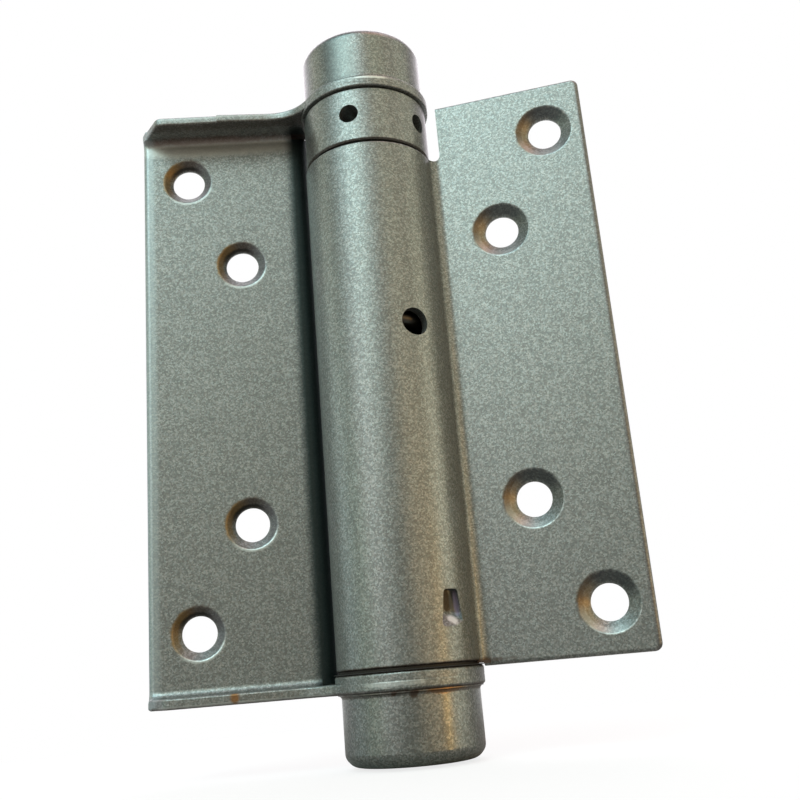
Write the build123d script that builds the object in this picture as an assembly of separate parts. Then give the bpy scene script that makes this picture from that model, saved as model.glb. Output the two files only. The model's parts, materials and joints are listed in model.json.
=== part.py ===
from build123d import *
from math import asin, atan2, cos, degrees, pi, radians, sin, sqrt
import os

os.makedirs("parts", exist_ok=True)

# A single-action spring hinge in millimetres. Z is the pin's axis, the origin is at the
# middle of the flanged leaf's height, X runs across the leaves and -Y is the open side.

# Sheet and overall size
leaf_height = 100.0        # flanged leaf, over its two arms
sheet = 1.6                # thickness of both leaves
barrel_radius = 11.0       # outside of the rolled barrel
pin_radius = 3.0
edge_round = 0.3           # rounding that the press tool leaves on cut edges
free_edge_round = 1.0      # larger rounding along the flanged leaf's free edge
plate_edge_round = 0.6     # rounding round the front of the barrel leaf

# Flanged leaf
flanged_reach = 40.2       # pin axis to the free edge
flanged_face = 4.4         # pin axis back to the leaf's front face
flange_depth = 5.6         # front face to the flange's rim
fold_radius = 1.2          # inside radius of the fold
corner_run = 3.4           # sideways run of the slanted end of each flange
corner_round = 1.6         # rounding between that end and the rim
tab_step = 0.35            # small step where the arm's blank was sheared
tab_step_run = 8.8         # sideways length over which the step runs out
tab_step_gap = 0.7         # from there to the fillet into the eye
neck_gap = 2.4             # barrel to the end of the flat face
lip_radius = 1.2           # inside radius of the lip that is turned back there
lip_length = 0.4           # straight end of the lip
lip_clearance = 0.1        # lip to the arms
eye_overhang = 0.35        # round end of each arm, outside the barrel
arm_fillet = 7.5           # arm's front edge into the eye
heel_fillet = 2.0          # arm's back edge into the eye
eye_round = 0.5            # rounding of the arm's outer edges

# Barrel leaf
barrel_reach = 37.8        # pin axis to the free edge
barrel_face = 0.5          # pin axis back to the leaf's front face
barrel_bend = 1.8          # inside radius where the leaf turns into the barrel
seam_drop = 0.27           # end of the roll, in front of the leaf's back face
swing_at_rest = -16.6      # how far the leaf is turned towards the open side
plate_gap_low = 0.9        # leaf's lower edge to the lower arm
plate_gap_high = 0.4       # leaf's upper edge to the upper arm
barrel_gap = 0.45          # barrel's lower edge to the washer under it
collar_gap = 0.55          # barrel's upper edge to the collar
notch_margin = 0.07        # notch's upright edge past the end of the bend
notch_round = 1.2
foot_notch_gap = 0.25      # leaf's lower notch to the washer
leaf_corner = 1.2          # rounded corners at the free edge

# Screw holes, four in each leaf, staggered
screw_radius = 2.8
flanged_flare = 1.35       # mouth of the flanged leaf's countersinks, outside the hole
barrel_flare = 1.85        # and of the barrel leaf's
sink_land = 0.35           # straight wall left behind the countersink
sink_round = 0.5           # rounding of the mouth
outer_spacing = 79.2       # between the two holes near the free edge
inner_spacing = 45.8       # between the two holes near the barrel
flanged_outer = 32.3       # pin axis to the outer holes
flanged_inner = 23.3
flanged_shift = 0.6        # the hole group's middle above the hinge's middle
barrel_outer = 31.1
barrel_inner = 21.85
barrel_shift = -0.3

# Peep hole and staked dent in the barrel, angles from the leaf's plane
peep_radius = 2.3
peep_height = 5.6
peep_angle = -46.6
dent_angle = -36.9
dent_rise = 5.1            # dent's lower end above the barrel's lower edge
dent_tall = 5.4
dent_wide_low = 4.1
dent_wide_high = 2.6
dent_deep = 1.4
dent_lean = 10.0           # how far the punch leaned from the barrel's radius
dent_slope = 1.9           # height over which its lower end slopes out
dent_wall = 0.8            # sheet left behind the dent
dent_corner = 0.6
dent_scoop = 1.2           # rounding between its floor and its slope

# Pin ends, washers, cap seats and caps
pin_head_flare = 1.8       # riveted head, outside the pin
pin_head_tall = 1.8
lower_washer = 1.25
upper_washer = 0.45
seat_thick = 1.5
cap_inset = 0.5            # cap, inside the barrel's radius
cap_tall = 10.3
cap_wall = 0.9
cap_shoulder_in = 1.2      # sloped shoulder at the closed end, sideways
cap_shoulder = 1.3         # and upwards
cap_shoulder_round = 1.7
cap_foot_thick = 0.15      # thin turned-out foot of a cap
cap_foot_reach = 0.55      # how far it stands out from the cap
cap_foot_fillet = 0.5      # foot into the cap's side

# Tension collar
collar_inset = 0.2         # collar, inside the barrel's radius
collar_tall = 9.85
collar_edge = 0.25
spigot_tall = 4.0
bar_hole_count = 5
bar_hole_radius = 1.65
bar_hole_deep = 5.2
bar_hole_angle = -107.0    # first hole, from the X axis
bar_hole_drop = 4.7        # hole's axis below the collar's upper face

# Spring and its lower anchor
wire = 2.6
coil_gap = 0.7             # coil to the barrel's inside
coil_count = 18
leg_length = 4.0
plug_tall = 12.0
plug_chamfer = 0.6
plug_rim_inset = 0.3       # rim under the barrel's end, inside the barrel's radius

# Clearances
running = 0.06             # bore round the pin, where it turns
fixed = 0.02               # bore round the pin, where it is riveted
slip = 0.08                # spigot and plug in the barrel
bearing = 0.1              # along the pin, between faces that turn on each other
leg_clearance = 0.15       # spring leg in its hole
overshoot = 5.0            # how far a cutter runs past what it cuts
hair = 0.01                # how closely an edge is looked for

# Heights and radii worked out from the sizes above
foot = -leaf_height / 2
head = leaf_height / 2
low_floor = foot + sheet
high_floor = head - sheet
washer_top = low_floor + lower_washer
plug_foot = washer_top + bearing
plug_head = plug_foot + plug_tall
barrel_low = washer_top + barrel_gap
collar_high = high_floor - upper_washer - bearing
collar_low = collar_high - collar_tall
barrel_high = collar_low - collar_gap
spigot_low = collar_low - spigot_tall
plate_low = low_floor + plate_gap_low
plate_high = high_floor - plate_gap_high
dent_low = barrel_low + dent_rise
rim = flanged_face - flange_depth
leaf_back = flanged_face + sheet
fold_outer = fold_radius + sheet
heel = leaf_back - fold_outer
neck = barrel_radius + neck_gap
eye_radius = barrel_radius + eye_overhang
collar_radius = barrel_radius - collar_inset
cap_radius = barrel_radius - cap_inset
bore_inside = barrel_radius - sheet
wire_radius = wire / 2
coil_radius = bore_inside - coil_gap - wire_radius
barrel_back = barrel_face + sheet
bend_y = barrel_face - barrel_bend
bend_x = sqrt((barrel_radius + barrel_bend) ** 2 - bend_y**2)
notch_reach = bend_x + notch_margin
foot_notch_reach = eye_radius + foot_notch_gap
eye_fillet_x = sqrt((eye_radius + arm_fillet) ** 2 - (arm_fillet - rim) ** 2)
tab_step_end = eye_fillet_x + tab_step_gap
tab_step_at = tab_step_end + tab_step_run


def ray(angle, radius):
    """Point at an angle in degrees round the pin."""
    return (radius * cos(radians(angle)), radius * sin(radians(angle)))


def slab(sketch, low, high):
    """A flat outline drawn in X and Y, raised between two heights."""
    return extrude(Pos(0, 0, low) * sketch, high - low)


def turned(points, rounds=()):
    """A solid of revolution about the pin, from radius and height pairs, some corners rounded."""
    profile = make_face(Polyline(*points, close=True))
    for corner, radius in rounds:
        profile = fillet(profile.vertices().sort_by_distance(corner)[0], radius)
    return revolve(Plane.XZ * profile, Axis.Z)


def ring(outer, inner, low, high):
    tall = high - low
    middle = Pos(0, 0, (low + high) / 2)
    return middle * (Cylinder(outer, tall) - Cylinder(inner, tall + overshoot))


def level_edges(part, height, least=0.0):
    """Edges that lie level at one height and are longer than the least length."""
    edges = part.edges().filter_by_position(Axis.Z, height - hair, height + hair)
    return [edge for edge in edges if edge.length > least]


def screw_hole(flare):
    """Cutter for a countersunk hole: the leaf's back is at zero, its front at one sheet up."""
    mouth = screw_radius + flare
    brim = mouth + sink_round
    return turned([
        (0, -overshoot), (screw_radius, -overshoot), (screw_radius, sink_land), (mouth, sheet),
        (brim, sheet), (brim, sheet + overshoot), (0, sheet + overshoot),
    ], [((mouth, sheet), sink_round)])


def screw_holes(outer, inner, shift, flare, face, side):
    """Cutters for a leaf's four holes, sunk from its front face at Y = face."""
    cutter = Rot(90, 0, 0) * screw_hole(flare)
    spots = [(outer, outer_spacing / 2), (inner, inner_spacing / 2)]
    return [
        Pos(side * reach, face + sheet, shift + up * half) * cutter
        for reach, half in spots for up in (1, -1)
    ]


def arm_outline():
    """Flange and eye of the flanged leaf, seen from above."""
    slant_x = corner_run * (flanged_face - heel) / flange_depth - flanged_reach
    corner = (corner_run - flanged_reach, rim)
    front = make_face(Polyline(
        (slant_x, heel), corner, (-tab_step_at, rim), (-tab_step_at, rim - tab_step),
        (-tab_step_end, rim), (0, rim), (0, leaf_back), (-neck, leaf_back), (-neck, heel), close=True,
    ))
    front = fillet(front.vertices().sort_by_distance(corner)[0], corner_round)
    outline = front + Circle(eye_radius)
    throat = (-sqrt(eye_radius**2 - rim**2), rim)
    nape = (-sqrt(eye_radius**2 - leaf_back**2), leaf_back)
    outline = fillet(outline.vertices().sort_by_distance(throat)[0], arm_fillet)
    return fillet(outline.vertices().sort_by_distance(nape)[0], heel_fillet)


def arm(low, outer, inner):
    """One arm: a flat tab with rounded edges, a full round eye and a bore for the riveted pin."""
    tab = slab(arm_outline(), low, low + sheet)
    for height, radius in ((outer, eye_round), (inner, edge_round)):
        shown = [edge for edge in level_edges(tab, height) if edge.center().Y < heel - hair]
        tab = fillet(shown, radius)
    groove = sorted((inner, inner + edge_round if inner < outer else inner - edge_round))
    tab += ring(eye_radius - fixed, pin_radius, *groove)
    return tab - Pos(0, 0, low) * Cylinder(pin_radius + fixed, 2 * overshoot)


def lip():
    """Inner edge of the flanged leaf, turned back beside the barrel."""
    outer = lip_radius + sheet
    quarter = Circle(outer) - Circle(lip_radius)
    quarter &= Pos(outer / 2, -outer / 2) * Rectangle(outer, outer)
    end = Pos((lip_radius + outer) / 2, lip_length / 2) * Rectangle(sheet, lip_length)
    strip = Pos(-neck, flanged_face + outer) * (quarter + end)
    return slab(strip, low_floor + lip_clearance, high_floor - lip_clearance)


def folded_plate():
    """Flat of the flanged leaf with the two folds that lead into its arms."""
    section = make_face(Polyline(
        (heel, foot), (leaf_back, foot), (leaf_back, head), (heel, head),
        (heel, high_floor), (flanged_face, high_floor), (flanged_face, low_floor), (heel, low_floor),
        close=True,
    ))
    corners = section.vertices()
    section = fillet(corners.group_by(Axis.X)[-1], fold_outer)
    inside = [corner for corner in section.vertices() if abs(corner.X - flanged_face) < hair]
    section = fillet(inside, fold_radius)
    plate = Pos(-neck, 0, 0) * extrude(Plane.YZ * section, flanged_reach - neck, dir=(-1, 0, 0))
    front = plate.edges().filter_by(Axis.Z).sort_by_distance((-flanged_reach, flanged_face, 0))[0]
    return fillet(front, free_edge_round)


def flanged_leaf():
    """Leaf with both ends folded forward into arms, and its inner edge turned back."""
    body = folded_plate() + arm(foot, foot, low_floor) + arm(high_floor, head, high_floor) + lip()
    slant = make_face(Polyline(
        (-flanged_reach, flanged_face), (-flanged_reach + corner_run, rim),
        (-flanged_reach + corner_run, rim - overshoot), (-flanged_reach - overshoot, rim - overshoot),
        (-flanged_reach - overshoot, flanged_face), close=True,
    ))
    body -= slab(slant, foot - overshoot, head + overshoot)
    for hole in screw_holes(flanged_outer, flanged_inner, flanged_shift, flanged_flare, flanged_face, -1):
        body -= hole
    return body


def barrel_section():
    """Barrel leaf seen from above, with the leaf along X and its front towards -Y."""
    bend_angle = degrees(atan2(bend_y, bend_x))
    seam_angle = degrees(asin((barrel_back - seam_drop) / barrel_radius))
    outer_bend = barrel_bend + sheet
    toward = bend_angle + 180
    half = (90 + toward) / 2

    def round_bend(angle, radius):
        return (bend_x + radius * cos(radians(angle)), bend_y + radius * sin(radians(angle)))

    return make_face([
        Line((barrel_reach, barrel_face), (bend_x, barrel_face)),
        ThreePointArc((bend_x, barrel_face), round_bend(half, barrel_bend), round_bend(toward, barrel_bend)),
        ThreePointArc(ray(bend_angle, barrel_radius), ray(180, barrel_radius), ray(seam_angle, barrel_radius)),
        Line(ray(seam_angle, barrel_radius), ray(seam_angle, bore_inside)),
        ThreePointArc(ray(seam_angle, bore_inside), ray(180, bore_inside), ray(bend_angle, bore_inside)),
        ThreePointArc(round_bend(toward, outer_bend), round_bend(half, outer_bend), (bend_x, barrel_back)),
        Line((bend_x, barrel_back), (barrel_reach, barrel_back)),
        Line((barrel_reach, barrel_back), (barrel_reach, barrel_face)),
    ])


def barrel_outline():
    """Barrel leaf seen from the front, with the notch for the collar."""
    side = -barrel_radius - overshoot
    outline = make_face(Polyline(
        (side, barrel_low), (foot_notch_reach, barrel_low), (foot_notch_reach, plate_low),
        (barrel_reach, plate_low),
        (barrel_reach, plate_high), (notch_reach, plate_high), (notch_reach, barrel_high),
        (side, barrel_high), close=True,
    ))
    outline = fillet(outline.vertices().group_by(Axis.X)[-1], leaf_corner)
    return fillet(outline.vertices().sort_by_distance((notch_reach, barrel_high))[0], notch_round)


def barrel_brim(height, inward):
    """Cutter that rounds the barrel's outer edge at one of its ends."""
    outside = barrel_radius + hair
    start = (barrel_radius - edge_round, height)
    end = (barrel_radius, height + inward * edge_round)
    middle_angle = radians(45)
    middle = (start[0] + edge_round * sin(middle_angle), end[1] - inward * edge_round * cos(middle_angle))
    profile = make_face([
        ThreePointArc(start, middle, end), Line(end, (outside, end[1])),
        Line((outside, end[1]), (outside, height - inward * hair)),
        Line((outside, height - inward * hair), (start[0], height - inward * hair)),
        Line((start[0], height - inward * hair), start),
    ])
    return revolve(Plane.XZ * profile, Axis.Z)


def dent(inner, outer, beyond, grow):
    """Solid of the staked dent: full depth down from its top, then sloping out at its lower end."""
    low = dent_low - grow
    high = dent_low + dent_tall + grow
    wide_low, wide_high = dent_wide_low / 2 + grow, dent_wide_high / 2 + grow
    profile = make_face(Polyline(
        (outer + beyond, high), (inner, high), (inner, low + dent_slope), (outer, low), (outer + beyond, low),
        close=True,
    ))
    profile = fillet(profile.vertices().sort_by_distance((inner, low + dent_slope))[0], dent_scoop)
    face = make_face(Polyline(
        (-wide_low, low), (wide_low, low), (wide_high, high), (-wide_high, high), close=True,
    ))
    face = fillet(face.vertices(), dent_corner)
    solid = extrude(Plane.XZ * profile, wide_low, both=True) & extrude(Plane.YZ * face, outer + beyond)
    lean = Pos(barrel_radius, 0, 0) * Rot(0, 0, -dent_lean) * Pos(-barrel_radius, 0, 0)
    return Rot(0, 0, dent_angle) * lean * solid


def barrel_leaf():
    """Leaf rolled round the spring, with a notch that leaves room for the collar."""
    roll = slab(barrel_section(), foot, head)
    body = roll & extrude(Plane.XZ * barrel_outline(), barrel_radius + overshoot, both=True)
    for face, radius in ((barrel_face, plate_edge_round), (barrel_back, edge_round)):
        edges = body.edges().filter_by_position(Axis.Y, face - hair, face + hair)
        body = fillet([edge for edge in edges if edge.center().X > notch_reach + overshoot], radius)
    body -= barrel_brim(barrel_high, -1)
    body -= barrel_brim(barrel_low, 1)
    floor = barrel_radius - dent_deep
    inside = Cylinder(barrel_radius - edge_round, leaf_height)
    body += inside & dent(floor - dent_wall, bore_inside, sheet, dent_wall / 2)
    body -= dent(floor, barrel_radius, overshoot, 0)
    peep = Pos(0, 0, peep_height) * Rot(0, 0, peep_angle) * Rot(0, 90, 0)
    body -= peep * Pos(0, 0, barrel_radius) * Cylinder(peep_radius, 2 * sheet + overshoot)
    for hole in screw_holes(barrel_outer, barrel_inner, barrel_shift, barrel_flare, barrel_face, 1):
        body -= hole
    return Rot(0, 0, swing_at_rest) * body


def leg_hole(end):
    """Cutter for the hole that takes a spring leg, both ways from a height."""
    deep = leg_length + wire_radius
    return Pos(coil_radius, 0, end) * Cylinder(wire_radius + leg_clearance, 2 * deep)


def anchor_plug():
    """Plug staked into the barrel's foot, which holds the spring's lower end."""
    outer = bore_inside - slip
    body = ring(outer, pin_radius + running, plug_foot, plug_head)
    body = chamfer(level_edges(body, plug_head, pi * outer), plug_chamfer)
    body += ring(barrel_radius - plug_rim_inset, pin_radius + running, plug_foot, barrel_low - fixed)
    floor = barrel_radius - dent_deep
    body -= dent(floor - dent_wall - slip, bore_inside, sheet, dent_wall / 2 + slip)
    return Rot(0, 0, swing_at_rest) * (body - leg_hole(plug_head))


def tension_collar():
    """Collar with radial holes for the winding bar and a spigot that centres the barrel."""
    body = ring(collar_radius, pin_radius + running, collar_low, collar_high)
    for height in (collar_low, collar_high):
        body = chamfer(level_edges(body, height, pi * collar_radius), collar_edge)
    body += ring(bore_inside - slip, pin_radius + running, spigot_low, collar_low)
    bar = Pos(collar_radius - bar_hole_deep / 2, 0, collar_high - bar_hole_drop) * Rot(0, 90, 0)
    for index in range(bar_hole_count):
        turn = Rot(0, 0, bar_hole_angle + index * 360 / bar_hole_count)
        body -= turn * bar * Cylinder(bar_hole_radius, bar_hole_deep)
    return body - Rot(0, 0, swing_at_rest) * leg_hole(spigot_low)


def torsion_spring():
    """Left-hand coil with a straight leg at each end, both over the leaf's line."""
    low = plug_head + wire_radius + bearing
    high = spigot_low - wire_radius - bearing
    path = Pos(0, 0, low) * Helix((high - low) / coil_count, high - low, coil_radius, lefthand=True)
    start = Plane(origin=path @ 0, z_dir=path % 0)
    coil = sweep(start * Circle(wire_radius), path=path, is_frenet=True)
    legs = []
    for end, way in ((low, -1), (high, 1)):
        knee = Pos(coil_radius, 0, end) * Sphere(wire_radius)
        leg = Pos(coil_radius, 0, end + way * leg_length / 2) * Cylinder(wire_radius, leg_length)
        legs += [knee, leg]
    return Rot(0, 0, swing_at_rest) * (coil + legs)


def spindle():
    """Pin through both arms, riveted over the cap seats."""
    low, high = foot - seat_thick, head + seat_thick
    flare = pin_radius + pin_head_flare
    tip = high + pin_head_tall
    points = [(0, low - pin_head_tall), (flare, low - pin_head_tall), (flare, low), (pin_radius, low),
              (pin_radius, high), (flare, high), (flare, tip), (0, tip)]
    rounds = [((flare, tip), pin_head_tall / 2), ((flare, low - pin_head_tall), pin_head_tall / 2)]
    return turned(points, rounds)


def washer(low, high, rounded):
    """Flat washer with the outer edge rounded on the side that shows."""
    body = ring(eye_radius, pin_radius + running, low, high)
    return fillet(level_edges(body, rounded, pi * eye_radius), min(eye_round, (high - low) / 2))


def cap(side):
    """Pressed cup with a turned-out foot and a sloped shoulder."""
    inside = cap_radius - cap_wall
    edge = cap_radius + cap_foot_reach
    top, slope = cap_tall, cap_tall - cap_shoulder
    closed = cap_radius - cap_shoulder_in
    body = turned([
        (0, top), (closed, top), (cap_radius, slope), (cap_radius, cap_foot_thick), (edge, cap_foot_thick),
        (edge, 0), (inside, 0), (inside, slope), (closed - cap_wall / 2, top - cap_wall), (0, top - cap_wall),
    ], [
        ((closed, top), cap_shoulder_round), ((cap_radius, slope), cap_shoulder_round),
        ((cap_radius, cap_foot_thick), cap_foot_fillet),
    ])
    if side < 0:
        body = Rot(180, 0, 0) * body
    return Pos(0, 0, side * head) * body


def cap_seat(side):
    """Disc under the rivet that the cap is pressed over."""
    low, high = (head, head + seat_thick) if side > 0 else (foot - seat_thick, foot)
    return ring(cap_radius - cap_wall - fixed, pin_radius + fixed, low, high)


nodes = {
    "flanged_leaf": flanged_leaf,
    "barrel_leaf": barrel_leaf,
    "tension_collar": tension_collar,
    "torsion_spring": torsion_spring,
    "spring_anchor_plug": anchor_plug,
    "spindle": spindle,
    "lower_thrust_washer": lambda: washer(low_floor, washer_top, washer_top),
    "upper_thrust_washer": lambda: washer(high_floor - upper_washer, high_floor, high_floor - upper_washer),
    "top_cap": lambda: cap(1),
    "bottom_cap": lambda: cap(-1),
    "top_cap_seat": lambda: cap_seat(1),
    "bottom_cap_seat": lambda: cap_seat(-1),
}

for name, make in nodes.items():
    export_step(make(), f"parts/{name}.step")
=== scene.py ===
import bpy
import bmesh
import json
from math import cos, pi, radians, sin
from mathutils import Matrix, Vector


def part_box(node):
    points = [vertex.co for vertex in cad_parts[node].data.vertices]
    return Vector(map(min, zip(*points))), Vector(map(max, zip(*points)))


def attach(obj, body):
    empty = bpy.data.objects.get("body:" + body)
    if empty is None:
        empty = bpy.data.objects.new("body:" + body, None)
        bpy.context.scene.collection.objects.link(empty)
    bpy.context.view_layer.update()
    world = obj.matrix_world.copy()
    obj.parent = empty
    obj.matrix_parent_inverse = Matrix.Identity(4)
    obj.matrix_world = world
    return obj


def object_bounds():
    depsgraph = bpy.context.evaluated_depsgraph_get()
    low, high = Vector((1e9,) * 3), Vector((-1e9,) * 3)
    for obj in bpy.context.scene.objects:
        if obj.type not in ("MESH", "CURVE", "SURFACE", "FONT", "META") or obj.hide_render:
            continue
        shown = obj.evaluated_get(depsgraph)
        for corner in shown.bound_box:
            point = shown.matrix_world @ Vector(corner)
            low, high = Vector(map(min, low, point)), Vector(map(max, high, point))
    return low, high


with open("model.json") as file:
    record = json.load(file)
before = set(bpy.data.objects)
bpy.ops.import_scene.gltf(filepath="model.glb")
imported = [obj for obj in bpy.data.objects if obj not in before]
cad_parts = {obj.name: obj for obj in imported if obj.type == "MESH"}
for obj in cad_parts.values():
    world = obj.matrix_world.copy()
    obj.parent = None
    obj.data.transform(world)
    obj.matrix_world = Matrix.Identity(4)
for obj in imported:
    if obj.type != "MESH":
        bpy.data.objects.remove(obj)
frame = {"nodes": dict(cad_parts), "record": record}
cad_low, cad_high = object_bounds()

# Camera, where the photograph was taken from: just above the foot, looking up along the barrel
camera_target = Vector((0.0021, 0.0, -0.00437))
camera_distance = 0.15793
camera_azimuth = -3.79
camera_elevation = -15.98
camera_roll = -4.89
camera_lens = 43.14
camera_sensor = 36.0
camera_near = 0.01

# Stage: the floor, and the white paper behind the object
floor_gap = 0.0004                # floor below the lower cap
floor_half = 3.0
floor_shade = (0.24, 0.235, 0.22)  # what the object gets from the floor
paper_shade = (0.9, 0.9, 0.9)     # what takes the shadow
shadow_share = 0.25               # how much of the floor's own shade the camera sees
shadow_near = 0.03                # distance from the pin at which that share is full
shadow_far = 0.16                 # and where the floor has become plain white
paper_from = 0.20                 # mirrored rays see the white paper from here on, behind the pin
paper_wide = (0.90, 0.98)         # and in the room, where they go nearly straight back

# Light of the room: degrees right of the front, degrees up, tightness and colour of each soft patch
room_light = {
    "skylight": (-30, 44, 20, (3.36, 5.80, 6.23)),
    "skylight_edge": (-15, 44, 20, (0.72, 0.12, 0.0)),
    "window_top": (-30, 28, 20, (0.92, 0.63, 0.21)),
    "window": (-46, 12, 20, (1.35, 1.28, 1.41)),
    "window_foot": (-62, -5, 20, (0.76, 1.06, 0.57)),
    "left_wall_top": (-100, 28, 20, (0.58, 0.52, 0.27)),
    "left_wall": (-100, 12, 20, (0.99, 1.26, 1.32)),
    "ceiling_front": (35, 62, 20, (0.64, 0.0, 0.0)),
    "ceiling_right": (30, 44, 20, (0.42, 0.48, 0.07)),
    "ceiling_side": (70, 62, 20, (1.69, 1.39, 1.40)),
    "right_front_top": (30, 28, 20, (0.30, 0.60, 0.78)),
    "lamp_glow": (30, 12, 20, (0.96, 0.56, 0.18)),
    "lamp_foot": (30, -5, 20, (0.76, 0.56, 0.27)),
    "right_wall_top": (80, 28, 20, (0.31, 0.48, 0.35)),
    "right_wall": (80, 12, 20, (1.75, 1.40, 1.0)),
    "right_wall_foot": (80, -5, 20, (1.37, 1.63, 1.36)),
    "back_top": (180, 40, 6, (3.52, 3.30, 3.52)),
}
lamp_low = (0.410, -0.287, -0.080)
lamp_high = (0.410, -0.287, -0.035)
lamp_width = 0.016
lamp_power = 0.21
lamp_colour = (1.0, 0.55, 0.12)

# Paint
paint_grey = (0.25, 0.26, 0.25)
flake_size = 4400.0       # flakes to the metre
flake_contrast = 0.75
flake_warm = (1.04, 0.99, 0.97)
flake_cool = (0.96, 1.01, 1.03)
flake_skew = 1.6          # above 1, bright flakes are rarer than dull ones
flake_tilt = 0.15
flake_depth = 0.00005
mottle = 0.05
mottle_scale = 420.0
paint_metallic = 0.8
leaf_roughness = 0.42
turned_roughness = 0.38
cap_roughness = 0.31

# Bare steel: colour, metallic, roughness
steel = {
    "pin_steel": ((0.5, 0.5, 0.5), 1.0, 0.3),
    "spring_steel": ((0.10, 0.09, 0.08), 1.0, 0.4),
    "seat_steel": ((0.035, 0.030, 0.026), 0.8, 0.5),
}

# Edges of stains, painted shade and painted highlights, and of rings
edge_scale = 1000.0       # fineness of their ragged edges
mark_core = 0.45         # share of a stain's half sizes within which it is full
ring_core = 0.4           # and of a ring's width
ring_ends = (0.3, 0.9)    # how far round a ring fades, as the cosine off its direction
fill_roughness = 0.8

# Stain colours, and the colours of painted shade, painted highlights and painted reflections
rust = (0.30, 0.14, 0.04)
# Painted warm reflection, on the left side of the countersinks
warm_reflection = (0.33, 0.20, 0.06)
# Brown dirt in the joints, and painted shade in the countersinks, under the upper arm's edge and on
# the notch fill
brown_dirt_and_shade = (0.075, 0.045, 0.030)
# Painted shade in the punched dent
pocket_shade = (0.026, 0.018, 0.010)
# Dark dirt in the collar joint, and painted shade at the top of the countersinks and on the gap
# fills
dark_dirt_and_shade = (0.022, 0.022, 0.020)
# Painted shade in the slit beside the barrel
slit_shade = (0.022, 0.034, 0.034)
red_brown = (0.16, 0.085, 0.065)
# Painted shade under the lower arm, and darker along the barrel leaf's free edge
rim_darkening = (0.11, 0.085, 0.085)
# Painted shade on the upper cap
dull_shade = (0.12, 0.125, 0.115)
# Painted shade in the barrel leaf's countersinks and dent
blue_shade = (0.05, 0.06, 0.07)
# Painted shade on the right of the flanged leaf's countersinks
violet_shade = (0.15, 0.14, 0.17)
# Painted light on the dent's right wall
painted_violet_light = (0.45, 0.40, 0.50)
# Painted highlights on the arms' edges, the ring arcs, the countersinks' lower rims and the dent's
# slope
painted_highlight = (0.80, 0.84, 0.82)
# Painted sheen along the flat's free edge
painted_edge_sheen = (0.46, 0.54, 0.56)
# Painted light below the top fold
painted_fold_light = (0.56, 0.56, 0.52)

# Heights read from the frame, and worked out with the gaps of the joints
collar_tall = 0.00985
collar_gap = 0.00055      # collar to the barrel under it
barrel_gap = 0.00045      # barrel to the washer under it
collar_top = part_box("tension_collar")[1].z
collar_foot = collar_top - collar_tall
barrel_head = collar_foot - collar_gap
washer_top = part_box("lower_thrust_washer")[1].z
barrel_foot = washer_top + barrel_gap
leaf_foot, leaf_head = (corner.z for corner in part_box("flanged_leaf"))
sheet = 0.0016
swing = radians(-16.6)    # turn of the barrel leaf in the photograph

# Screw holes, each leaf seen along its own flat: outer and inner reach, shift up, back face
outer_half = 0.0396
inner_half = 0.0229
flanged_holes = (-0.0323, -0.0233, 0.0006, 0.0060)
barrel_holes = (0.0311, 0.02185, -0.0003, 0.0021)
hole_reach = 0.007        # a place belongs to a hole when it is nearer than this
back_fade = (0.0002, 0.0007)  # the rings fade out between these depths in front of the back face

# Rings in a countersink, mostly painted light: painted shade toward the top and the right, a
# painted warm reflection on the left, a painted highlight toward the bottom, and brown dirt with
# painted shade up and to the left; colour, strength, direction across and up, radius, width
flanged_rings = [
    (brown_dirt_and_shade, 0.65, (-0.4, 1.0), 0.0035, 0.0013),
    (warm_reflection, 0.60, (-1.0, 0.30), 0.0038, 0.0008),
    (dark_dirt_and_shade, 0.80, (-0.2, 1.0), 0.0030, 0.0006),
    (violet_shade, 0.50, (1.0, 0.1), 0.0035, 0.0009),
    (painted_highlight, 0.38, (0.25, -1.0), 0.0043, 0.00035),
]
barrel_rings = [
    (warm_reflection, 0.45, (-1.0, 0.1), 0.0038, 0.0013),
    (brown_dirt_and_shade, 0.50, (-0.9, 0.4), 0.0044, 0.0007),
    (blue_shade, 0.60, (0.3, 1.0), 0.0038, 0.0012),
    (painted_highlight, 0.22, (-0.5, -1.0), 0.0042, 0.0007),
]

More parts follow.
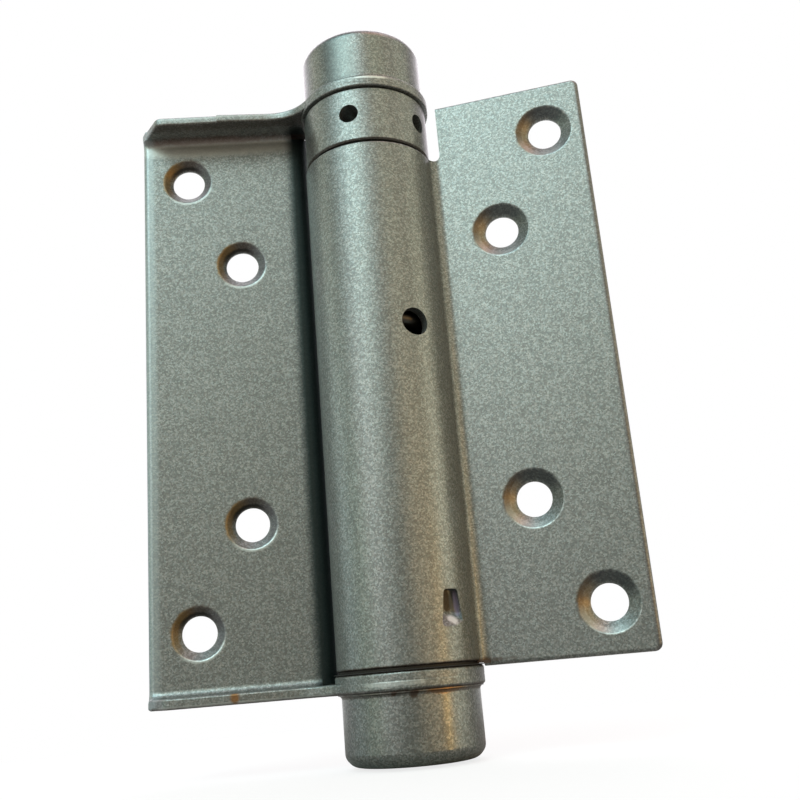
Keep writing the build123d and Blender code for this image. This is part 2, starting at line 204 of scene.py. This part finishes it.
# Stains, painted shade and painted highlights: colour, strength, middle, half sizes, raggedness
everywhere = 0.2
flanged_stains_and_light = [
    # Painted light below the top fold, brightening the dark reflection of the upper arm there
    (painted_fold_light, 0.65, (-0.0275, 0.0046, leaf_head - 0.0033), (0.026, 0.0013, 0.0022), 0.3),
    # Painted highlight along the top of the upper arm's front edge, and painted shade along its
    # lower edge
    (painted_highlight, 0.22, (-0.0270, -0.0012, leaf_head - 0.0002), (0.050, 0.003, 0.0007), 0.4),
    (brown_dirt_and_shade, 0.45, (-0.0270, -0.0012, leaf_head - sheet), (0.050, 0.003, 0.0006), 0.4),
    # Painted shade in the slit between the flat and the barrel
    (slit_shade, 0.96, (-0.0118, 0.0040, 0.0), (0.0034, 0.0044, everywhere), 0.1),
    # Painted dark red-brown reflection in the top fold
    (red_brown, 0.60, (-0.0290, 0.0046, leaf_head - 0.0017), (0.024, 0.0020, 0.0009), 0.5),
    # Painted highlight arc on the upper ring
    (painted_highlight, 0.75, (0.0014, -0.0120, leaf_head - 0.0006), (0.0046, 0.003, 0.0003), 0.4),
    # Painted sheen along the flat's free edge
    (painted_edge_sheen, 0.40, (-0.0396, 0.0050, 0.0), (0.0018, 0.01, everywhere), 0.1),
    # Painted shade on the underside of the lower arm
    (rim_darkening, 0.60, (-0.0270, 0.0, leaf_foot), (everywhere, 0.02, 0.0004), 0.4),
    # Painted highlight along the lower arm's front edge
    (painted_highlight, 0.45, (-0.0270, -0.0012, leaf_foot + 0.0003), (0.028, 0.004, 0.00022), 0.8),
    (rust, 0.85, (-0.0263, -0.0012, leaf_foot + 0.0010), (0.0009, 0.001, 0.0012), 0.6),
    # Painted highlight arc on the upper part of the lower ring
    (painted_highlight, 0.35, (-0.0035, -0.0110, leaf_foot + sheet - 0.0005), (0.007, 0.004, 0.0005), 1.0),
    (brown_dirt_and_shade, 0.60, (0.0030, -0.0112, leaf_foot), (0.010, 0.004, 0.0005), 0.9),
]
barrel_stains_and_light = [
    (brown_dirt_and_shade, 0.8, (0.0, 0.0, barrel_foot), (0.02, 0.02, 0.0006), 0.6),
    (dark_dirt_and_shade, 0.5, (0.0, 0.0, barrel_head), (0.02, 0.02, 0.0003), 0.3),
    # Painted shade and painted light in the punched dent: painted shade at the left and the top,
    # painted violet light on the right wall, a painted highlight on the bottom slope
    (pocket_shade, 0.95, (0.0079, -0.0057, barrel_foot + 0.0088), (0.0012, 0.0010, 0.0028), 0.3),
    (blue_shade, 0.85, (0.0085, -0.0050, barrel_foot + 0.0088), (0.0006, 0.0007, 0.0026), 0.3),
    (painted_violet_light, 0.80, (0.0091, -0.0046, barrel_foot + 0.0086), (0.0006, 0.0010, 0.0030), 0.3),
    (painted_highlight, 0.95, (0.0086, -0.0059, barrel_foot + 0.0062), (0.0012, 0.0009, 0.0012), 0.8),
    (brown_dirt_and_shade, 0.8, (0.0120, 0.0, barrel_foot + 0.0001), (0.0009, 0.0015, 0.0006), 0.8),
    # Darker along the barrel leaf's free edge
    (rim_darkening, 0.4, (0.0377, 0.0010, 0.0), (0.0010, 0.01, everywhere), 0.2),
]
collar_stains = [
    (brown_dirt_and_shade, 0.6, (0.0, 0.0, collar_foot), (0.02, 0.02, 0.0005), 0.6),
    (brown_dirt_and_shade, 0.5, (0.0, 0.0, collar_top), (0.02, 0.02, 0.0004), 0.5),
    (brown_dirt_and_shade, 0.35, (-0.0105, -0.0055, collar_foot + 0.0025), (0.003, 0.005, 0.004), 0.8),
]
cap_stains_and_shade = [
    # Painted shade on the upper cap's left side, dimming its highlight
    (dull_shade, 0.60, (-0.0043, -0.0097, leaf_head + 0.0045), (0.0042, 0.0030, 0.0110), 0.5),
    (brown_dirt_and_shade, 0.55, (0.0, 0.0, leaf_foot), (0.02, 0.02, 0.0007), 0.8),
    (rust, 0.60, (0.0050, -0.0105, leaf_foot - 0.0003), (0.005, 0.004, 0.0006), 0.9),
    (brown_dirt_and_shade, 0.80, (-0.0002, -0.0108, leaf_foot - 0.0004), (0.0009, 0.002, 0.0009), 0.6),
    (brown_dirt_and_shade, 0.80, (-0.0030, -0.0104, leaf_foot - 0.0002), (0.0006, 0.002, 0.0006), 0.6),
]
washer_stains = [
    (brown_dirt_and_shade, 0.8, (0.0, 0.0, washer_top), (0.02, 0.02, 0.0005), 0.6),
    (red_brown, 0.8, (0.0085, -0.0090, washer_top - 0.0004), (0.0012, 0.0012, 0.0005), 0.8),
]

# Thin dark fill standing in for shade in the corners where the turned-back edge meets the arms
pack_half = 0.00012
pack_lift = 0.00005       # its middle off the arms
pack_low = Vector((-0.0144, 0.0046, -pack_half))
pack_high = Vector((-0.0115, 0.00765, pack_half))

# Dark fill standing in for shade in the notch by the washer, in the barrel leaf's own frame
notch_lift = 0.00004      # off the washer
notch_hold = 0.00003      # into the barrel's foot
fill_deep = 0.00030       # under the barrel's foot
notch_low = Vector((0.0117, -0.0009, washer_top + notch_lift))
notch_high = Vector((0.01256, 0.0019, barrel_foot + notch_hold))
fill_low = Vector((0.01075, -0.0009, barrel_foot - fill_deep))
fill_high = Vector((0.01175, 0.0019, barrel_foot + notch_hold))

# A dark ring standing in for shade between the washer and the plug
gap_ring_radius = 0.0115
gap_ring_wide = 0.0004
gap_ring_hold = 0.00002     # into the washer
gap_ring_clear = 0.00001      # under the plug
gap_ring_steps = 96
gap_ring_low = washer_top - gap_ring_hold
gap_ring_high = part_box("spring_anchor_plug")[0].z - gap_ring_clear


def make_camera():
    """A camera at the photograph's place, turned about its own line of sight."""
    azimuth, elevation, roll = (radians(a) for a in (camera_azimuth, camera_elevation, camera_roll))
    back = Vector((sin(azimuth) * cos(elevation), -cos(azimuth) * cos(elevation), sin(elevation)))
    level = Vector((cos(azimuth), sin(azimuth), 0.0))
    upright = back.cross(level)
    right = level * cos(roll) + upright * sin(roll)
    up = upright * cos(roll) - level * sin(roll)
    data = bpy.data.cameras.new("camera")
    data.lens = camera_lens
    data.sensor_width = camera_sensor
    data.clip_start = camera_near
    camera = bpy.data.objects.new("camera", data)
    turn = Matrix((right, up, back)).transposed().to_4x4()
    camera.matrix_world = Matrix.Translation(camera_target + back * camera_distance) @ turn
    bpy.context.scene.collection.objects.link(camera)
    bpy.context.scene.camera = camera


def feed(tree, item, socket):
    """Links an output to a socket, or writes a plain number or colour on it."""
    if isinstance(item, bpy.types.NodeSocket):
        tree.links.new(item, socket)
    else:
        socket.default_value = item


def calc(tree, operation, *items):
    """One step of arithmetic between sockets and numbers."""
    node = tree.nodes.new("ShaderNodeMath")
    node.operation = operation
    for item, socket in zip(items, node.inputs):
        feed(tree, item, socket)
    return node.outputs[0]


def vector(tree, operation, *items):
    """One step of arithmetic between vectors, with all its outputs."""
    node = tree.nodes.new("ShaderNodeVectorMath")
    node.operation = operation
    for item, socket in zip(items, node.inputs):
        feed(tree, item, socket)
    return node.outputs


def triple(tree, x, y, z):
    """A vector from three sockets or numbers."""
    node = tree.nodes.new("ShaderNodeCombineXYZ")
    for item, socket in zip((x, y, z), node.inputs):
        feed(tree, item, socket)
    return node.outputs[0]


def parts(tree, item):
    """The three numbers of a vector."""
    node = tree.nodes.new("ShaderNodeSeparateXYZ")
    feed(tree, item, node.inputs[0])
    return node.outputs


def fade(tree, item, start, end, low=0.0, high=1.0):
    """A smooth step from low to high while the item goes from start to end."""
    node = tree.nodes.new("ShaderNodeMapRange")
    node.interpolation_type = "SMOOTHSTEP"
    for entry, socket in zip((item, start, end, low, high), node.inputs):
        feed(tree, entry, socket)
    return node.outputs["Result"]


def blend(tree, factor, first, second, mode="MIX"):
    """Mixes two colours."""
    node = tree.nodes.new("ShaderNodeMix")
    node.data_type = "RGBA"
    node.blend_type = mode
    feed(tree, factor, node.inputs["Factor"])
    feed(tree, first, node.inputs["A"])
    feed(tree, second, node.inputs["B"])
    return node.outputs["Result"]


def mix_shaders(tree, factor, first, second):
    node = tree.nodes.new("ShaderNodeMixShader")
    for item, socket in zip((factor, first, second), node.inputs):
        feed(tree, item, socket)
    return node.outputs[0]


def cloud(tree, place, scale):
    """Fine noise about zero."""
    node = tree.nodes.new("ShaderNodeTexNoise")
    feed(tree, place, node.inputs["Vector"])
    node.inputs["Scale"].default_value = scale
    node.inputs["Detail"].default_value = 3.0
    return calc(tree, "SUBTRACT", node.outputs["Fac"], 0.5)


def opaque(tint):
    return (*tint, 1.0)


def new_material(name):
    """An empty material, with its node tree and its output node."""
    material = bpy.data.materials.new(name)
    material.use_nodes = True
    tree = material.node_tree
    tree.nodes.clear()
    output = tree.nodes.new("ShaderNodeOutputMaterial")
    return material, tree, output


def new_group(name, numbers, results=(("Mask", "NodeSocketFloat"),)):
    """A node group that takes a place and named numbers."""
    group = bpy.data.node_groups.new(name, "ShaderNodeTree")
    face = group.interface
    face.new_socket("Vector", in_out="INPUT", socket_type="NodeSocketVector")
    for label in numbers:
        face.new_socket(label, in_out="INPUT", socket_type="NodeSocketFloat")
    for label, kind in results:
        face.new_socket(label, in_out="OUTPUT", socket_type=kind)
    given = group.nodes.new("NodeGroupInput").outputs
    result = group.nodes.new("NodeGroupOutput").inputs
    return group, given, result


def use_group(tree, group, place, **values):
    """Places a group in a tree, with its values by name."""
    node = tree.nodes.new("ShaderNodeGroup")
    node.node_tree = group
    feed(tree, place, node.inputs["Vector"])
    for label, item in values.items():
        feed(tree, item, node.inputs[label])
    return node.outputs


def seen_rays(tree, backdrop):
    """Camera rays, and the mirrored or clear rays that go to the backdrop."""
    rays = tree.nodes.new("ShaderNodeLightPath").outputs
    mirrored = calc(tree, "MAXIMUM", rays["Is Glossy Ray"], rays["Is Transmission Ray"])
    return calc(tree, "MAXIMUM", rays["Is Camera Ray"], calc(tree, "MULTIPLY", mirrored, backdrop))


def make_floor():
    """A pale floor that runs into the white paper and keeps the object's soft shadow."""
    material, tree, output = new_material("floor_paper")
    place = tree.nodes.new("ShaderNodeNewGeometry").outputs["Position"]
    reach = vector(tree, "LENGTH", place)["Value"]
    own = fade(tree, reach, shadow_near, shadow_far, shadow_share, 0.0)
    behind = fade(tree, parts(tree, place)["Y"], paper_from / 2, paper_from)
    pale = tree.nodes.new("ShaderNodeBsdfDiffuse")
    pale.inputs["Color"].default_value = opaque(floor_shade)
    lit = tree.nodes.new("ShaderNodeBsdfDiffuse")
    lit.inputs["Color"].default_value = opaque(paper_shade)
    white = tree.nodes.new("ShaderNodeEmission")
    paper = mix_shaders(tree, own, white.outputs[0], lit.outputs[0])
    surface = mix_shaders(tree, seen_rays(tree, behind), pale.outputs[0], paper)
    feed(tree, surface, output.inputs["Surface"])

    bpy.ops.mesh.primitive_plane_add(size=2 * floor_half, location=(0, 0, cad_low.z - floor_gap))
    floor = bpy.context.object
    floor.name = "floor"
    floor.data.materials.append(material)


def light_patch_group():
    """A soft round patch of light in one direction of the room."""
    group, given, result = new_group("light_patch", ("X", "Y", "Z", "Tight"))
    toward = triple(group, given["X"], given["Y"], given["Z"])
    along = vector(group, "DOT_PRODUCT", given["Vector"], toward)["Value"]
    off = calc(group, "MULTIPLY", calc(group, "SUBTRACT", along, 1.0), given["Tight"])
    feed(group, calc(group, "EXPONENT", off), result["Mask"])
    return group


def make_room():
    """The room's light: cool and bright on the left and above, warm and low on the right."""
    world = bpy.data.worlds.new("studio")
    bpy.context.scene.world = world
    world.use_nodes = True
    tree = world.node_tree
    tree.nodes.clear()
    output = tree.nodes.new("ShaderNodeOutputWorld")
    way = tree.nodes.new("ShaderNodeTexCoord").outputs["Generated"]
    patch = light_patch_group()
    room = opaque((0, 0, 0))
    for right, up, tight, colour in room_light.values():
        right, up = radians(right), radians(up)
        across, front = sin(right) * cos(up), -cos(right) * cos(up)
        mask = use_group(tree, patch, way, X=across, Y=front, Z=sin(up), Tight=tight)["Mask"]
        room = blend(tree, mask, room, opaque(colour), "ADD")
    light = tree.nodes.new("ShaderNodeBackground")
    feed(tree, room, light.inputs["Color"])
    white = tree.nodes.new("ShaderNodeBackground")
    white.inputs["Color"].default_value = opaque((1, 1, 1))
    straight_back = fade(tree, parts(tree, way)["Y"], *paper_wide)
    surface = mix_shaders(tree, seen_rays(tree, straight_back), light.outputs[0], white.outputs[0])
    feed(tree, surface, output.inputs["Surface"])


def make_lamp():
    """A small warm lamp low on the right, for the streak on the lower cap."""
    low, high = Vector(lamp_low), Vector(lamp_high)
    middle = (low + high) / 2
    along = (high - low).normalized()
    back = (middle - along * middle.dot(along)).normalized()
    data = bpy.data.lights.new("room_lamp", "AREA")
    data.shape = "RECTANGLE"
    data.size = lamp_width
    data.size_y = (high - low).length
    data.energy = lamp_power
    data.color = lamp_colour
    lamp = bpy.data.objects.new("room_lamp", data)
    turn = Matrix((along.cross(back), along, back)).transposed().to_4x4()
    lamp.matrix_world = Matrix.Translation(middle) @ turn
    bpy.context.scene.collection.objects.link(lamp)


def flake_group():
    """Metallic flake paint: fine flakes of uneven brightness, hue and tilt, over a soft mottle."""
    group, given, result = new_group(
        "metallic_flakes", (), (("Shade", "NodeSocketColor"), ("Height", "NodeSocketFloat")))
    cells = group.nodes.new("ShaderNodeTexVoronoi")
    feed(group, given["Vector"], cells.inputs["Vector"])
    cells.inputs["Scale"].default_value = flake_size
    split = group.nodes.new("ShaderNodeSeparateColor")
    feed(group, cells.outputs["Color"], split.inputs["Color"])
    bright = calc(group, "POWER", split.outputs["Red"], flake_skew)
    bright = calc(group, "SUBTRACT", bright, 1 / (1 + flake_skew))
    flakes = calc(group, "MULTIPLY", bright, flake_contrast)
    patches = calc(group, "MULTIPLY", cloud(group, given["Vector"], mottle_scale), mottle)
    shade = calc(group, "ADD", calc(group, "ADD", flakes, patches), 1.0)
    hue = blend(group, split.outputs["Blue"], opaque(flake_warm), opaque(flake_cool))
    feed(group, vector(group, "SCALE", hue, (0, 0, 0), (0, 0, 0), shade)["Vector"], result["Shade"])
    feed(group, split.outputs["Green"], result["Height"])
    return group


def mark_group():
    """A ragged patch about a middle, as far as three half sizes."""
    group, given, result = new_group(
        "ragged_mark", ("X", "Y", "Z", "Wide", "Deep", "Tall", "Ragged"))
    middle = triple(group, given["X"], given["Y"], given["Z"])
    half = triple(group, given["Wide"], given["Deep"], given["Tall"])
    away = vector(group, "SUBTRACT", given["Vector"], middle)["Vector"]
    reach = vector(group, "LENGTH", vector(group, "DIVIDE", away, half)["Vector"])["Value"]
    wander = calc(group, "MULTIPLY", cloud(group, given["Vector"], edge_scale), given["Ragged"])
    feed(group, fade(group, calc(group, "ADD", reach, wander), 1.0, mark_core), result["Mask"])
    return group


def nearest_hole_group():
    """Place across and up from the middle of the nearest screw hole."""
    group, given, result = new_group(
        "nearest_hole", ("Outer", "Inner", "Shift"), (("Place", "NodeSocketVector"),))
    flat = vector(group, "MULTIPLY", given["Vector"], (1, 0, 1))["Vector"]
    place = (1.0, 0.0, 1.0)
    for reach, half in (("Outer", outer_half), ("Inner", inner_half)):
        for up in (1, -1):
            middle = triple(group, given[reach], 0.0, calc(group, "ADD", given["Shift"], up * half))
            away = vector(group, "SUBTRACT", flat, middle)["Vector"]
            near = calc(group, "LESS_THAN", vector(group, "LENGTH", away)["Value"], hole_reach)
            choice = group.nodes.new("ShaderNodeMix")
            choice.data_type = "VECTOR"
            feed(group, near, choice.inputs["Factor"])
            feed(group, place, choice.inputs["A"])
            feed(group, away, choice.inputs["B"])
            place = choice.outputs["Result"]
    feed(group, place, result["Place"])
    return group


def ring_group():
    """A ragged arc of a ring round a hole, strongest in one direction."""
    group, given, result = new_group("ragged_ring", ("Across", "Up", "Radius", "Width"))
    reach = vector(group, "LENGTH", given["Vector"])["Value"]
    toward = vector(group, "NORMALIZE", triple(group, given["Across"], 0.0, given["Up"]))["Vector"]
    away = vector(group, "NORMALIZE", given["Vector"])["Vector"]
    along = vector(group, "DOT_PRODUCT", away, toward)["Value"]
    wander = calc(group, "MULTIPLY", cloud(group, given["Vector"], edge_scale), given["Width"])
    off = calc(group, "ADD", calc(group, "SUBTRACT", reach, given["Radius"]), wander)
    core = calc(group, "MULTIPLY", given["Width"], ring_core)
    near = fade(group, calc(group, "ABSOLUTE", off), given["Width"], core)
    feed(group, calc(group, "MULTIPLY", near, fade(group, along, *ring_ends)), result["Mask"])
    return group


def flake_paint(name, groups, roughness, marks=(), holes=None, rings=(), turn=0.0):
    """Silver-grey flake paint for one slot, with its own stains, painted shade and painted
    highlights, and its rings of painted shade, painted reflection, painted highlight and dirt round
    the holes.
    """
    material, tree, output = new_material(name)
    place = tree.nodes.new("ShaderNodeTexCoord").outputs["Object"]
    flake = use_group(tree, groups["flakes"], place)
    colour = blend(tree, 1.0, opaque(paint_grey), flake["Shade"], "MULTIPLY")
    if turn:
        level = tree.nodes.new("ShaderNodeVectorRotate")
        level.rotation_type = "Z_AXIS"
        feed(tree, place, level.inputs["Vector"])
        level.inputs["Angle"].default_value = -turn
        place = level.outputs[0]
    for mark, strength, (x, y, z), (wide, deep, tall), ragged in marks:
        mask = use_group(
            tree, groups["mark"], place,
            X=x, Y=y, Z=z, Wide=wide, Deep=deep, Tall=tall, Ragged=ragged)["Mask"]
        colour = blend(tree, calc(tree, "MULTIPLY", mask, strength), colour, opaque(mark))
    if holes:
        outer, inner, shift, back = holes
        near = use_group(
            tree, groups["hole"], place, Outer=outer, Inner=inner, Shift=shift)["Place"]
        front = fade(tree, parts(tree, place)["Y"], *(back - depth for depth in back_fade))
        for mark, strength, (across, up), radius, width in rings:
            mask = use_group(
                tree, groups["ring"], near,
                Across=across, Up=up, Radius=radius, Width=width)["Mask"]
            factor = calc(tree, "MULTIPLY", calc(tree, "MULTIPLY", mask, strength), front)
            colour = blend(tree, factor, colour, opaque(mark))
    bump = tree.nodes.new("ShaderNodeBump")
    bump.inputs["Strength"].default_value = flake_tilt
    bump.inputs["Distance"].default_value = flake_depth
    feed(tree, flake["Height"], bump.inputs["Height"])
    paint = tree.nodes.new("ShaderNodeBsdfPrincipled")
    paint.inputs["Metallic"].default_value = paint_metallic
    paint.inputs["Roughness"].default_value = roughness
    feed(tree, colour, paint.inputs["Base Color"])
    feed(tree, bump.outputs["Normal"], paint.inputs["Normal"])
    feed(tree, paint.outputs["BSDF"], output.inputs["Surface"])
    return material


def plain(name, tint, metallic, roughness):
    """Bare steel, or plain dark fill that stands in for shade, without paint."""
    material, tree, output = new_material(name)
    shader = tree.nodes.new("ShaderNodeBsdfPrincipled")
    shader.inputs["Base Color"].default_value = opaque(tint)
    shader.inputs["Metallic"].default_value = metallic
    shader.inputs["Roughness"].default_value = roughness
    feed(tree, shader.outputs["BSDF"], output.inputs["Surface"])
    return material


def dress_nodes():
    """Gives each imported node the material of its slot."""
    groups = {
        "flakes": flake_group(),
        "mark": mark_group(),
        "hole": nearest_hole_group(),
        "ring": ring_group(),
    }
    finishes = {
        "leaf_paint": flake_paint(
            "leaf_paint", groups, leaf_roughness,
            flanged_stains_and_light, flanged_holes, flanged_rings),
        "barrel_paint": flake_paint(
            "barrel_paint", groups, turned_roughness,
            barrel_stains_and_light, barrel_holes, barrel_rings, swing),
        "collar_paint": flake_paint("collar_paint", groups, turned_roughness, collar_stains),
        "cap_paint": flake_paint("cap_paint", groups, cap_roughness, cap_stains_and_shade),
        "washer_paint": flake_paint("washer_paint", groups, leaf_roughness, washer_stains),
        **{name: plain(name, *look) for name, look in steel.items()},
    }
    for part in frame["record"]["subparts"]:
        node = frame["nodes"][part["node"]]
        node.data.materials.clear()
        node.data.materials.append(finishes[part["material_slot"]])


def add_piece(name, shape, material, body):
    """Turns finished geometry into a piece that rides on a body."""
    mesh = bpy.data.meshes.new(name)
    shape.to_mesh(mesh)
    shape.free()
    mesh.materials.append(material)
    piece = bpy.data.objects.new(name, mesh)
    bpy.context.scene.collection.objects.link(piece)
    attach(piece, body)


def block(low, high, turn=0.0):
    """A box between two corners, turned about the pin."""
    shape = bmesh.new()
    bmesh.ops.create_cube(shape, size=1.0)
    bmesh.ops.scale(shape, vec=high - low, verts=shape.verts)
    bmesh.ops.translate(shape, vec=(low + high) / 2, verts=shape.verts)
    bmesh.ops.rotate(shape, cent=(0, 0, 0), matrix=Matrix.Rotation(turn, 3, "Z"), verts=shape.verts)
    return shape


def hoop(radius, wide, low, high, steps):
    """A flat ring about the pin, between two heights."""
    shape = bmesh.new()
    loops = []
    turns = [2 * pi * step / steps for step in range(steps)]
    inner = radius - wide
    for reach, height in ((radius, low), (radius, high), (inner, high), (inner, low)):
        loops.append([shape.verts.new((reach * cos(a), reach * sin(a), height)) for a in turns])
    for first, second in zip(loops, loops[1:] + loops[:1]):
        for step in range(steps):
            after = (step + 1) % steps
            shape.faces.new((first[step], first[after], second[after], second[step]))
    bmesh.ops.recalc_face_normals(shape, faces=shape.faces)
    return shape


def fill_gaps_with_shade():
    """Thin dark fill pieces that stand in for shade, where light would show through the joints."""
    gap_fill = plain("gap_shade_fill", dark_dirt_and_shade, 0.0, fill_roughness)
    notch = plain("notch_shade_fill", brown_dirt_and_shade, 0.0, fill_roughness)
    inside = sheet + pack_lift
    for name, height in (("foot_shade_fill", leaf_foot + inside), ("head_shade_fill", leaf_head - inside)):
        lift = Vector((0, 0, height))
        add_piece(name, block(pack_low + lift, pack_high + lift), gap_fill, "jamb_leaf")
    add_piece("notch_shade_fill", block(notch_low, notch_high, swing), notch, "door_leaf")
    add_piece("notch_fill", block(fill_low, fill_high, swing), notch, "door_leaf")
    gap_ring = hoop(gap_ring_radius, gap_ring_wide, gap_ring_low, gap_ring_high, gap_ring_steps)
    add_piece("joint_shade_fill", gap_ring, gap_fill, "jamb_leaf")


make_camera()
make_floor()
make_room()
make_lamp()
dress_nodes()
fill_gaps_with_shade()
bpy.context.scene.view_settings.view_transform = "Standard"
